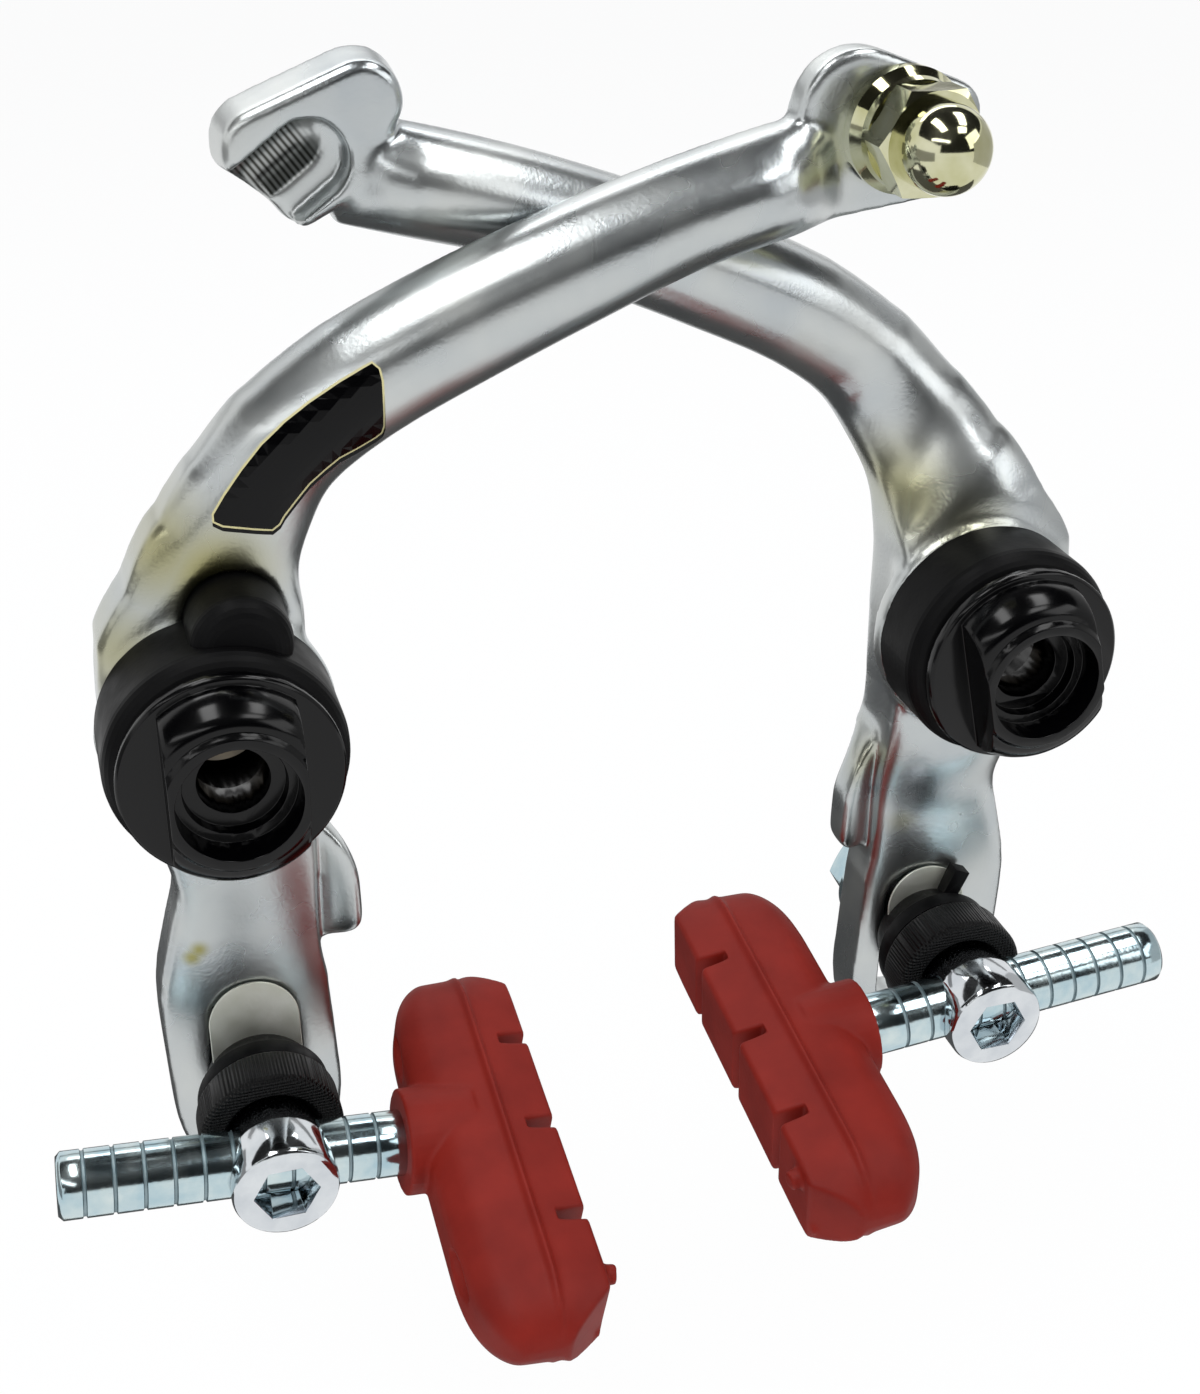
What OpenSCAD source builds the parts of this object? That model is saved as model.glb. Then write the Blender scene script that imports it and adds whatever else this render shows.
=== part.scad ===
// Bicycle u-brake: two crossed arms on two frame studs, with brake pads on posts.
// X runs right, Y runs away from the viewer towards the frame, Z runs up.
// The origin lies midway between the two pivot axes, in the plane of the hubs' rear faces.

/* [Pivots] */
// Distance between the two pivot axes
pivot_spacing = 84; // [78:1:96]
// Diameter of the frame stud that a pivot bush slides over
stud_d = 9; // [8:0.5:9.5]
// Wall of the pivot bush
bush_wall = 1.5; // [1:0.1:1.8]
// Thickness of an arm's hub and leg, from the rear face to the front face
hub_depth = 8.4; // [7.6:0.1:9.6]
// Outer diameter of an arm's pivot hub
hub_d = 24.4; // [24:0.2:27]
// Depth of the hub's round rim that a spring cover sits on
hub_rim = 2.4; // [2:0.1:3.4]
// Running clearance between the bush and the arm, on the radius
bush_clearance = 0.04; // [0.02:0.01:0.08]

/* [Arms] */
// Thickness of an arm from its flat back to its crown, where the arms cross
arm_thick = 9.4; // [8:0.2:10]
// Gap between the two arms where they cross
cross_gap = 0.8; // [0.5:0.1:1.4]
// How far the back arm lies behind the hubs' rear faces
arm_set_back = 9.8; // [9:0.1:10.4]
// Depth of the flat band along an arm's edges
edge_band = 3; // [2:0.1:4]
// Half width of an arm where the two arms cross
arm_half_w = 5.8; // [5:0.1:6.5]
// Half width of an arm at the shoulder above its hub
shoulder_half_w = 10.4; // [9.5:0.1:11]
// Half width of the leg beside its slot
leg_half_w = 9.4; // [8.6:0.1:10]
// Height of the crown on the leg's front face
leg_crown = 1.3; // [0.6:0.1:2]
// Distance from the pivot axis down to the foot of the leg
leg_length = 59; // [58:0.5:64]
// Depth of the stop lug on the inner side of the leg
lug_depth = 4.8; // [4:0.2:6]
// Chamfer along an arm's rear edges
arm_chamfer = 0.9; // [0.4:0.1:1.4]

/* [Leg slot] */
// Width of the slot that the eye bolt stands in
slot_w = 9; // [8.6:0.1:9.6]
// Distance from the pivot axis down to the centre of the slot's top arc
slot_top = 37.8; // [37:0.2:39]
// Distance between the centres of the slot's two end arcs
slot_travel = 12.4; // [11.4:0.2:13.4]

/* [End plates] */
// Thickness of the front arm's end plate
front_plate_thick = 4.4; // [4:0.1:5]
// Thickness of the back arm's end plate
back_plate_thick = 7; // [6.6:0.1:7.6]
// Distance across from its pivot to the anchor bolt on the front arm
anchor_across = 71.8; // [71:0.1:72.4]
// Height of the anchor bolt above the pivots
anchor_height = 53.8; // [53.4:0.1:54.4]
// Distance across from its pivot to the cable end's seat on the back arm
seat_across = 69.5; // [69:0.1:70]
// Height of that seat above the pivots
seat_height = 52.1; // [51.8:0.1:52.4]
// Slope of the seat, down towards its open end
seat_slope = 37; // [34:1:40]
// Width of the seat, with a round end
seat_w = 7.8; // [7.4:0.1:8.2]
// Depth of the seat's smooth floor
seat_depth = 3.6; // [3.2:0.1:4]
// Diameter of the channel for the cable end
channel_d = 5; // [4.6:0.1:5.4]

/* [Spring covers] */
// Outer diameter of a spring cover
cover_d = 24; // [23.6:0.2:25]
// Wall of a spring cover
cover_wall = 1.4; // [1:0.1:1.6]
// Depth of a spring cover
cover_depth = 10; // [9.6:0.1:11]
// Radius of the rounded tab that keys the left cover to its arm
tab_r = 5; // [4.4:0.1:5.4]
// Distance of the tab's centre from the pivot axis
tab_reach = 11.4; // [11:0.2:12]
// Lean of the tab from the vertical
tab_lean = 13; // [8:1:18]

/* [Spring adjusters] */
// Diameter of an adjuster's flange
flange_d = 22; // [21:0.2:23]
// Thickness of an adjuster's flange
flange_thick = 1.6; // [1.3:0.1:2]
// Distance across the two spanner flats
flats_w = 13; // [12:0.5:14]
// Height of the boss in front of the flange
boss_height = 5; // [4.4:0.1:5.6]
// Diameter of the boss at its front
boss_front_d = 15; // [14:0.2:16]
// Diameter of the recess for the fixing bolt's head
head_recess_d = 12; // [11:0.2:12.4]
// Diameter of the step below that recess
step_recess_d = 10; // [9:0.2:10.6]
// Diameter of the hole for the fixing bolt
bolt_hole_d = 7; // [6.4:0.1:7.4]
// Turn of the right adjuster's flats from the vertical
right_flats_turn = 13; // [0:1:30]

/* [Return springs] */
// Wire diameter of a return spring
spring_wire = 1.7; // [1.4:0.1:1.8]
// Turns of a return spring
spring_turns = 3.25; // [2.25:1:3.25]

/* [Eye bolts] */
// Diameter of the thread of an eye bolt
thread_d = 6; // [5:0.5:6]
// Diameter of an eye bolt's head
eye_head_d = 11.2; // [10.8:0.1:12]
// Distance from the post axis to the front of an eye bolt's head
eye_nose = 5.6; // [5:0.1:6]
// Distance across the flats of the socket in the head
socket_w = 5; // [4:0.5:5]
// Distance from the pivot axis down to the left eye bolt
left_eye_drop = 45; // [42:0.5:46]
// Distance from the pivot axis down to the right eye bolt
right_eye_drop = 41.4; // [41:0.2:46]
// Distance of the left eye bolt sideways from its pivot axis towards the middle
left_eye_across = 0.8; // [0:0.1:1.6]
// Distance of the right eye bolt sideways from its pivot axis towards the middle
right_eye_across = 2.4; // [1.4:0.1:2.8]

/* [Washers] */
// Diameter of the toothed washer that a post bears on
toothed_d = 15.4; // [14.6:0.2:16.4]
// Thickness of the toothed washer
toothed_thick = 5.2; // [4.6:0.1:5.6]
// Thickness of the toe-in washer in front of the leg
toe_thick = 5.6; // [5:0.1:6.2]
// Length of the toe-in washer's barrel inside the slot
toe_barrel = 4.6; // [3.6:0.1:5.6]
// Thickness of the plain washer behind the leg
rear_washer_thick = 1.5; // [1.2:0.1:2]
// Clearance between parts that clamp on each other and turn apart
clamp_clearance = 0.1; // [0.08:0.01:0.15]

/* [Pad posts] */
// Diameter of a pad post
post_d = 7; // [6.5:0.1:7.4]
// Length of a post from its outer end to the braking face's backing
post_length = 51; // [48:1:56]
// Distance that a post's outer end stands out beyond the eye bolt's axis
post_out = 22.6; // [20:0.2:26]
// Slope of a post, down towards its pad
post_slope = 5; // [0:1:8]
// Pitch of the grooves around a post
groove_pitch = 3; // [2.4:0.2:4]
// Depth of the grooves around a post
groove_depth = 0.2; // [0.1:0.05:0.3]
// Sliding clearance between a post and its eye, on the radius
post_clearance = 0.05; // [0.03:0.01:0.08]

/* [Brake pads] */
// Length of a brake pad
pad_length = 48; // [42:1:54]
// Thickness of a brake pad at its middle, without its collar
pad_thick = 12.2; // [11:0.2:14]
// Height of a brake pad at its parting ridge
pad_height = 11.4; // [10:0.2:13]
// Height of the braking face
face_height = 9.6; // [8:0.2:10]
// Distance from the braking face back to the parting ridge
ridge_back = 5.4; // [4:0.2:6.4]
// Diameter of the collar round the post
collar_d = 11.4; // [10:0.2:11.8]
// Length of that collar
collar_length = 4; // [3:0.2:5]
// Width of the grooves across the braking face
pad_groove_w = 1.6; // [1:0.1:2.4]
// Depth of the grooves across the braking face
pad_groove_depth = 2.6; // [1.6:0.2:3.4]
// Number of grooves across the braking face
pad_grooves = 3; // [2:1:5]
// Pitch of the left pad about its post, front end down
left_pad_pitch = 9; // [0:1:10]
// Pitch of the right pad about its post, front end down
right_pad_pitch = 8; // [0:1:12]
// Distance of the left pad's middle in front of its post
left_pad_offset = 4; // [0:0.5:5]
// Distance of the right pad's middle in front of its post
right_pad_offset = 1; // [0:0.5:5]

/* [Cable anchor] */
// Distance across the flats of the anchor nut
anchor_nut_w = 10; // [9:0.5:11]
// Height of the anchor nut's hexagon
anchor_nut_h = 4.2; // [3.6:0.1:4.8]
// Radius of the anchor nut's dome
dome_r = 4.3; // [4:0.1:4.8]
// Height of the plain part below that dome
dome_neck = 2.2; // [1:0.1:2.8]
// Diameter of the anchor washer
anchor_washer_d = 12.4; // [11.6:0.2:13]
// Thickness of the anchor washer
anchor_washer_thick = 3.6; // [3:0.1:4]
// Diameter of the anchored cable
cable_d = 1.8; // [1.5:0.1:2]

/* [Hidden] */

// Smoothness of the curved parts
$fn = 64;
// Small overlap that keeps cuts clean
cut = 0.05;
// Step between an arm's faces and those of the hub and the end plate that join it
flush_step = 0.25;
// Half the distance between the pivots
pivot_x = pivot_spacing / 2;
hub_r = hub_d / 2;
bush_r = stud_d / 2 + bush_wall;
// Depths are measured forwards from the hubs' rear faces
back_layer_rear = -arm_set_back;
front_layer_rear = back_layer_rear + arm_thick + cross_gap;
cover_front = hub_depth + cover_depth;
flange_rear = cover_front + 0.35;
boss_rear = flange_rear + flange_thick;
adjuster_front = boss_rear + boss_height;
leg_front = hub_depth;
leg_rear = 0;
toe_rear = leg_front + clamp_clearance;
toe_front = toe_rear + toe_thick;
toothed_rear = toe_front + clamp_clearance;
toothed_front = toothed_rear + toothed_thick;
post_depth = toothed_front + clamp_clearance + post_d / 2;
washer_front = leg_rear - clamp_clearance;
nut_front = washer_front - rear_washer_thick;
nut_thick = thread_d * 0.8;
nut_w = thread_d * 5 / 3;
bolt_end = nut_front - nut_thick - 1.4;
spring_r = cover_d / 2 - cover_wall - spring_wire / 2 - 0.35;
spigot_r = spring_r - spring_wire / 2 - 0.5;
// Room around the stud's end inside an adjuster
stud_room = 0.8;
post_in = post_length - post_out;
collar_at = post_in - 16;

function lerp(a, b, t) = a + (b - a) * t;

// Smooth curve through the rows of p, with t counted in rows
function curve_at(p, t) =
    let (i = min(floor(t), len(p) - 2), f = t - i)
    let (a = p[max(i - 1, 0)], b = p[i], c = p[i + 1], d = p[min(i + 2, len(p) - 1)])
    0.5 * (2 * b + (c - a) * f + (2 * a - 5 * b + 4 * c - d) * f * f
        + (3 * b - a - 3 * c + d) * f * f * f);

// Corner of an outline, rounded to radius r, as points of its arc
function round_corner(a, b, c, r, steps = 8) =
    let (u = (a - b) / norm(a - b), w = (c - b) / norm(c - b))
    let (half = acos(max(-1, min(1, u * w))) / 2, m = (u + w) / norm(u + w))
    let (centre = b + m * r / sin(half), start = b + u * r / tan(half) - centre)
    let (turn = (u[0] * w[1] - u[1] * w[0] > 0 ? 1 : -1) * (180 - 2 * half))
    [for (i = [0:steps]) let (q = -turn * i / steps)
        centre + [start[0] * cos(q) - start[1] * sin(q), start[0] * sin(q) + start[1] * cos(q)]];

// Outline with rounded corners from rows of [x, y, radius]
function rounded(rows) =
    let (n = len(rows))
    [for (k = [0:n - 1]) let (p = rows[(k + n - 1) % n], q = rows[k], s = rows[(k + 1) % n])
        each round_corner([p[0], p[1]], [q[0], q[1]], [s[0], s[1]], q[2])];

// Rows of an arm's centre line: across, up, half width, how far the arm has moved from
// the hub's full depth into its own layer, and how full its crown is
arm_rows = [
    [-0.9, 0, hub_r - 1.8, 0, 1],
    [-1.2, 8, shoulder_half_w + 0.4, 0, 1],
    [-0.4, 13.3, shoulder_half_w + 0.1, 0.08, 1],
    [1.4, 17.8, shoulder_half_w - 1.1, 0.28, 1],
    [4.6, 22.3, lerp(shoulder_half_w, arm_half_w, 0.58), 0.62, 1],
    [9.2, 27.6, lerp(shoulder_half_w, arm_half_w, 0.8), 0.92, 1],
    [16.9, 32.6, lerp(shoulder_half_w, arm_half_w, 0.9), 1, 1],
    [26.9, 37.3, arm_half_w + 0.3, 1, 1],
    [38.7, 42.2, arm_half_w, 1, 1],
    [49.7, 46.3, arm_half_w - 0.4, 1, 1],
    [59.7, 49, arm_half_w - 0.4, 1, 0.96],
    [66.2, 50.4, arm_half_w - 0.6, 1, 0]];

// Rows of the leg from its foot up: across, up, half width
leg_rows = [
    [1, -leg_length, leg_half_w * 0.3],
    [1, -leg_length + 0.9, leg_half_w * 0.58],
    [1, -leg_length + 3.4, leg_half_w * 0.86],
    [0.9, -leg_length + 8, leg_half_w - 0.1],
    [0.6, -44, leg_half_w],
    [0.3, -35, leg_half_w - 0.2],
    [0.8, -28.5, leg_half_w - 1.2],
    [1.6, -22, leg_half_w - 1.9],
    [1.2, -15, leg_half_w - 1.4],
    [-0.1, -8, hub_r - 2.8]];

// Depths of an arm's section: flat back, front of the edge band, crown
function arm_section(row, layer, end_thick) =
    let (s = row[3], back = lerp(leg_rear, layer, s))
    let (crown = lerp(hub_depth - flush_step, layer + lerp(end_thick - 1, arm_thick, row[4]), s))
    [row[0], row[1], row[2], back, back + lerp(hub_depth - 1.2, edge_band, min(1, s * 1.1)), crown];
function leg_section(row) =
    let (front = leg_front - flush_step)
    [row[0], row[1], row[2], leg_rear, front - leg_crown, front];

// Points of one section: an elliptic crown over an edge band and a chamfered flat back
crown_steps = 16;
function ring(p, across) =
    [for (i = [0:crown_steps]) let (a = 180 * i / crown_steps)
        [p[0] + across[0] * p[2] * cos(a), -(p[4] + (p[5] - p[4]) * sin(a)),
            p[1] + across[1] * p[2] * cos(a)],
    for (q = [[-1, 0, 1], [-1, 1, 0], [1, 1, 0], [1, 0, 1]])
        let (w = q[0] * (p[2] - q[1] * arm_chamfer))
        [p[0] + across[0] * w, -(p[3] + q[2] * arm_chamfer), p[1] + across[1] * w]];

// Closed skin through rings of equally many points
module skin(rings) {
    n = len(rings[0]);
    last = len(rings) - 1;
    polyhedron(
        points = [for (r = rings) each r],
        faces = [[for (i = [0:n - 1]) i],
            [for (i = [0:n - 1]) last * n + n - 1 - i],
            for (k = [0:last - 1]) for (i = [0:n - 1]) let (j = (i + 1) % n)
                each [[k * n + i, (k + 1) * n + i, (k + 1) * n + j],
                    [k * n + i, (k + 1) * n + j, k * n + j]]]);
}

// Blank of an arm: one loft from the foot of the leg to the end plate
steps_per_row = 3;
module arm_blank(layer, end_thick) {
    rows = concat([for (r = leg_rows) leg_section(r)],
        [for (r = arm_rows) arm_section(r, layer, end_thick)]);
    count = (len(rows) - 1) * steps_per_row;
    path = [for (i = [0:count]) curve_at(rows, i / steps_per_row)];
    skin([for (i = [0:count])
        let (a = path[max(i - 1, 0)], b = path[min(i + 1, count)], d = [b[0] - a[0], b[1] - a[1]])
        ring(path[i], [-d[1], d[0]] / norm(d))]);
}

// Cylinder along the depth axis, from one depth to another
module bar(r, from, to) {
    translate([0, -from, 0]) rotate([90, 0, 0]) cylinder(r = r, h = to - from);
}

// Solid turned about the depth axis from rows of [radius, depth]
module turned(profile) {
    rotate([90, 0, 0]) rotate_extrude() polygon(profile);
}

// Places its children on the left or, mirrored, on the right pivot
module on_side(side) {
    mirror([side > 0 ? 1 : 0, 0, 0]) translate([-pivot_x, 0, 0]) children();
}

// Plate of an outline's shape, from one depth to another
module plate(outline, from, to) {
    translate([0, -from, 0]) rotate([90, 0, 0]) linear_extrude(to - from) polygon(outline);
}

// Ring of points that follows an outline at one depth, drawn in by an inset
function slab_ring(outline, depth, inset) =
    let (n = len(outline))
    [for (i = [0:n - 1]) let (a = outline[(i + n - 1) % n], b = outline[(i + 1) % n])
        let (d = (b - a) / norm(b - a))
        [outline[i][0] - inset * d[1], -depth, outline[i][1] + inset * d[0]]];

// Slab from a counter-clockwise outline, with drafted sides and a rounded front edge
module slab(outline, from, to, r) {
    draft = 0.08 * (to - from);
    skin(concat([slab_ring(outline, from, 0)],
        [for (a = [0:22.5:90])
            slab_ring(outline, to - r + r * sin(a), draft + r * (1 - cos(a)))]));
}

// Lug on the inner side of the leg, at the frame side
module stop_lug() {
    plate(rounded([[-1, -6, 1], [7.8, -10, 4], [11.9, -21.5, 4], [12.1, -28.2, 1.8],
        [8.4, -31.4, 0.8], [0, -29, 1]]), leg_rear + flush_step, leg_rear + flush_step + lug_depth);
}

// Everything that both arms share
module arm_body(layer, end_thick) {
    arm_blank(layer, end_thick);
    bar(hub_r, hub_depth - hub_rim, hub_depth);
    stop_lug();
}

// Bore, slot and other openings that both arms have
module arm_cuts(eye_across) {
    bar(bush_r + bush_clearance, -1, hub_depth + cut);
    bar(cover_d / 2 + 0.3, hub_depth, cover_front);
    for (z = [-slot_top, -slot_top - slot_travel])
        translate([eye_across, 0, z]) bar(slot_w / 2, leg_rear - 1, leg_front + 1);
    translate([eye_across - slot_w / 2, -leg_front - 1, -slot_top - slot_travel])
        cube([slot_w, leg_front - leg_rear + 2, slot_travel]);
    spring_place(hub_depth) bar(spring_wire / 2 + 0.1, -2, cut);
}

// Where the wire of a return spring enters the arm
module spring_place(depth) {
    rotate([0, 200, 0]) translate([spring_r, -depth, 0]) children();
}

module front_arm() {
    seat = front_layer_rear + front_plate_thick;
    color("silver") on_side(-1) difference() {
        union() {
            arm_body(front_layer_rear, front_plate_thick);
            plate(rounded([[57, 46.8, 2], [66, 45.2, 4], [75.5, 46.5, 3], [80.4, 49.8, 3],
                [80.8, 57, 3.4], [61.1, 64.3, 6.4], [61.1, 54.6, 2.8], [55.4, 49.6, 2]]),
                front_layer_rear + flush_step, seat);
        }
        arm_cuts(left_eye_across);
        rotate([0, tab_lean, 0]) translate([0, 0, tab_reach])
            bar(tab_r + 0.2, hub_depth - 1.2, hub_depth + 12);
        translate([anchor_across, 0, anchor_height]) {
            bar(anchor_washer_d / 2 + 0.3, seat, seat + arm_thick);
            bar(anchor_nut_w / 2 + 1, back_layer_rear, front_layer_rear);
            bar(thread_d / 2 + 0.15, back_layer_rear, seat + 1);
        }
    }
}

module back_arm() {
    face = back_layer_rear + back_plate_thick;
    color("silver") on_side(1) difference() {
        union() {
            arm_body(back_layer_rear + flush_step, back_plate_thick);
            slab(rounded([[65.2, 47.6, 3], [70.9, 44.6, 2], [73, 47.4, 1], [78.2, 51.3, 2],
                [78.2, 56.2, 4.2], [59.4, 63.8, 4.4], [59.6, 56, 3]]),
                back_layer_rear, face, 0.8);
        }
        arm_cuts(right_eye_across);
        translate([seat_across, -face, seat_height]) rotate([0, seat_slope, 0]) {
            bar(seat_w / 2, -seat_depth, 2);
            translate([0, -2, -seat_w / 2]) cube([16, seat_depth + 2, seat_w]);
            translate([0, seat_depth - 0.4, (seat_w - channel_d) / 2]) {
                rotate([0, 90, 0]) cylinder(d = channel_d, h = 18);
                sphere(d = channel_d);
            }
        }
    }
}

module pivot_bush() {
    color([0.25, 0.24, 0.22]) difference() {
        bar(bush_r, 0, hub_depth);
        bar(stud_d / 2, -1, hub_depth + 1);
    }
}

// Moulded cap over the return spring
module spring_cover(with_tab) {
    lip = 1;
    edge = 2.2;
    color([0.1, 0.1, 0.1]) difference() {
        union() {
            turned(concat([[0, hub_depth], [cover_d / 2, hub_depth]],
                [for (a = [0:15:90]) [cover_d / 2 - edge + edge * cos(a),
                    cover_front - edge + edge * sin(a)]],
                [[0, cover_front]]));
            if (with_tab) rotate([0, tab_lean, 0]) translate([0, 0, tab_reach]) turned(concat(
                [[0, hub_depth - 1], [tab_r, hub_depth - 1]],
                [for (a = [0:15:90]) [tab_r - 2 + 2 * cos(a), cover_front - 4.4 + 2 * sin(a)]],
                [[0, cover_front - 2.4]]));
        }
        turned([[0, hub_depth - 2], [cover_d / 2 - cover_wall, hub_depth - 2],
            [cover_d / 2 - cover_wall, cover_front - lip], [0, cover_front - lip]]);
        bar(spigot_r + 0.4, cover_front - lip - cut, cover_front + cut);
    }
}

// Turned nut that sets the spring: flange, boss with two flats, stepped bore
module adjuster(turn) {
    socket_depth = flange_rear - 3;
    color([0.04, 0.04, 0.05]) rotate([0, turn, 0]) difference() {
        union() {
            turned([[0, hub_depth + 0.4], [spigot_r, hub_depth + 0.4], [spigot_r, flange_rear],
                [flange_d / 2 - 0.3, flange_rear], [flange_d / 2, flange_rear + 0.3],
                [flange_d / 2, boss_rear - 0.3], [flange_d / 2 - 0.3, boss_rear], [0, boss_rear]]);
            intersection() {
                turned(concat([[0, boss_rear - cut]],
                    [for (a = [0:10:90]) [lerp(boss_front_d / 2, flange_d / 2 - 0.9, cos(a)),
                        boss_rear + (boss_height - 0.6) * sin(a)]],
                    [[boss_front_d / 2 - 0.5, adjuster_front], [0, adjuster_front]]));
                translate([-flats_w / 2, -adjuster_front - 1, -flange_d])
                    cube([flats_w, boss_height + 2, 2 * flange_d]);
            }
        }
        bar(stud_d / 2 + stud_room, hub_depth, socket_depth);
        bar(bolt_hole_d / 2, hub_depth, adjuster_front + 1);
        bar(step_recess_d / 2, boss_rear + 0.2, adjuster_front + 1);
        bar(head_recess_d / 2, boss_rear + 1.6, adjuster_front + 1);
    }
}

// Torsion spring wound from round wire, with a leg in the arm
wire_sides = 8;
rings_per_turn = 16;
module return_spring() {
    first = hub_depth + spring_wire / 2 + 0.3;
    rise = (cover_depth - 1 - spring_wire - 0.8) / spring_turns;
    count = round(spring_turns * rings_per_turn);
    color("dimgray") rotate([0, 200, 0]) {
        skin([for (i = [0:count])
            let (a = i * 360 / rings_per_turn, depth = first + rise * i / rings_per_turn)
            [for (k = [0:wire_sides - 1]) let (q = -k * 360 / wire_sides)
                let (r = spring_r + spring_wire / 2 * cos(q))
                [r * cos(a), -depth - spring_wire / 2 * sin(q), r * sin(a)]]]);
        translate([spring_r, 0, 0]) bar(spring_wire / 2 - 0.05, hub_depth - 1.8, first + 0.1);
    }
}

// Places its children on the eye bolt's axis, in the leg of one arm
module on_eye(side) {
    across = side < 0 ? left_eye_across : right_eye_across;
    drop = side < 0 ? left_eye_drop : right_eye_drop;
    on_side(side) translate([across, 0, -drop]) children();
}

// Turns its children with the post's slope
module on_slope() {
    rotate([0, post_slope, 0]) children();
}

// Washer that sits in the slot and takes up the toe-in, with an ear to turn it by
module toe_in_washer(ear_at) {
    hollow = 3;
    color([0.12, 0.12, 0.13]) difference() {
        union() {
            turned([[0, leg_front - toe_barrel], [slot_w / 2 - 0.5, leg_front - toe_barrel],
                [slot_w / 2 - 0.25, leg_front - toe_barrel + 0.4], [slot_w / 2 - 0.25, toe_rear],
                [slot_w / 2 + 1.2, toe_rear], [toothed_d / 2 - 1.4, toe_rear + 2.6],
                [toothed_d / 2 - 0.5, toe_rear + 3.6], [toothed_d / 2 - 0.5, toe_front],
                [0, toe_front]]);
            rotate([0, ear_at, 0]) translate([-1, -toe_rear - 2, 4])
                cube([2, 1.8, 5.4]);
        }
        bar(thread_d / 2 + 0.5, 0, toe_front + 1);
        turned([[0, toe_front - hollow], [3.6, toe_front - hollow],
            [toothed_d / 2 - 1.6, toe_front + cut], [0, toe_front + cut]]);
    }
}

// Washer whose face grips the post, with a domed back that rocks in the toe-in washer
module toothed_washer() {
    dome = 2.2;
    color([0.1, 0.1, 0.11]) difference() {
        union() {
            turned([[0, toothed_rear], [toothed_d / 2 - 0.6, toothed_rear],
                [toothed_d / 2, toothed_rear + 0.6], [toothed_d / 2, toothed_front - 0.5],
                [toothed_d / 2 - 0.5, toothed_front], [0, toothed_front]]);
            turned([[0, toothed_rear - dome], [3.4, toothed_rear - dome],
                [toothed_d / 2 - 2.4, toothed_rear + 0.1], [0, toothed_rear + 0.1]]);
        }
        bar(thread_d / 2 + 0.4, 0, toothed_front + 1);
        turned([[0, toothed_front - 2.6], [thread_d / 2 + 0.9, toothed_front - 2.6],
            [eye_head_d / 2 - 0.2, toothed_front + cut], [0, toothed_front + cut]]);
    }
}

// Eye bolt: domed head with a hexagon socket, a cross hole for the post and a thread
module eye_bolt() {
    nose = post_depth + eye_nose;
    head_r = eye_head_d / 2;
    color("lightsteelblue") difference() {
        turned([[0, bolt_end], [thread_d / 2 - 0.6, bolt_end], [thread_d / 2, bolt_end + 0.6],
            [thread_d / 2, toothed_front - 2.6], [thread_d / 2 + 0.5, toothed_front - 2.3],
            [head_r - 0.9, toothed_front], [head_r, post_depth + 0.4], [head_r, nose - 0.8],
            [head_r - 0.2, nose - 0.3], [head_r - 0.8, nose], [0, nose]]);
        on_slope() translate([-20, -post_depth, 0]) rotate([0, 90, 0])
            cylinder(d = post_d + 2 * post_clearance, h = 40);
        translate([0, -nose - 1, 0]) rotate([-90, 0, 0])
            cylinder(d = socket_w / cos(30), h = eye_nose, $fn = 6);
    }
}

module rear_washer() {
    color("lightgray") difference() {
        bar(thread_d + 0.4, nut_front, washer_front);
        bar(thread_d / 2 + 0.1, nut_front - 1, washer_front + 1);
    }
}

// Hexagon nut from one depth to another, with chamfered corners
module hex_nut(width, from, to) {
    intersection() {
        translate([0, -from, 0]) rotate([90, 0, 0])
            cylinder(d = width / cos(30), h = to - from, $fn = 6);
        turned([[0, from], [width / 2, from], [width / cos(30) / 2 + 0.05, from + 0.5],
            [width / cos(30) / 2 + 0.05, to - 0.5], [width / 2, to], [0, to]]);
    }
}

module eye_nut() {
    color("lightgray") difference() {
        hex_nut(nut_w, nut_front - nut_thick, nut_front);
        bar(thread_d / 2, nut_front - nut_thick - 1, nut_front + 1);
    }
}

// Grooved post, running from its outer end into the pad
module pad_post() {
    groove_w = 0.45;
    first = 2.4;
    grooves = floor((post_out + collar_at - first - 1) / groove_pitch);
    r = post_d / 2;
    color("lightsteelblue") on_slope() translate([-post_out, -post_depth, 0]) rotate([0, 90, 0])
        rotate_extrude() polygon(concat([[0, 0], [r - 0.5, 0], [r, 0.5]],
            [for (i = [0:grooves]) let (z = first + i * groove_pitch)
                each [[r, z], [r - groove_depth, z + 0.1],
                    [r - groove_depth, z + groove_w - 0.1], [r, z + groove_w]]],
            [[r, post_length - 9], [r - 0.8, post_length - 9], [r - 0.8, post_length - 8],
            [r + 1, post_length - 8], [r + 1, post_length - 6], [0, post_length - 6]]));
}

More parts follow.
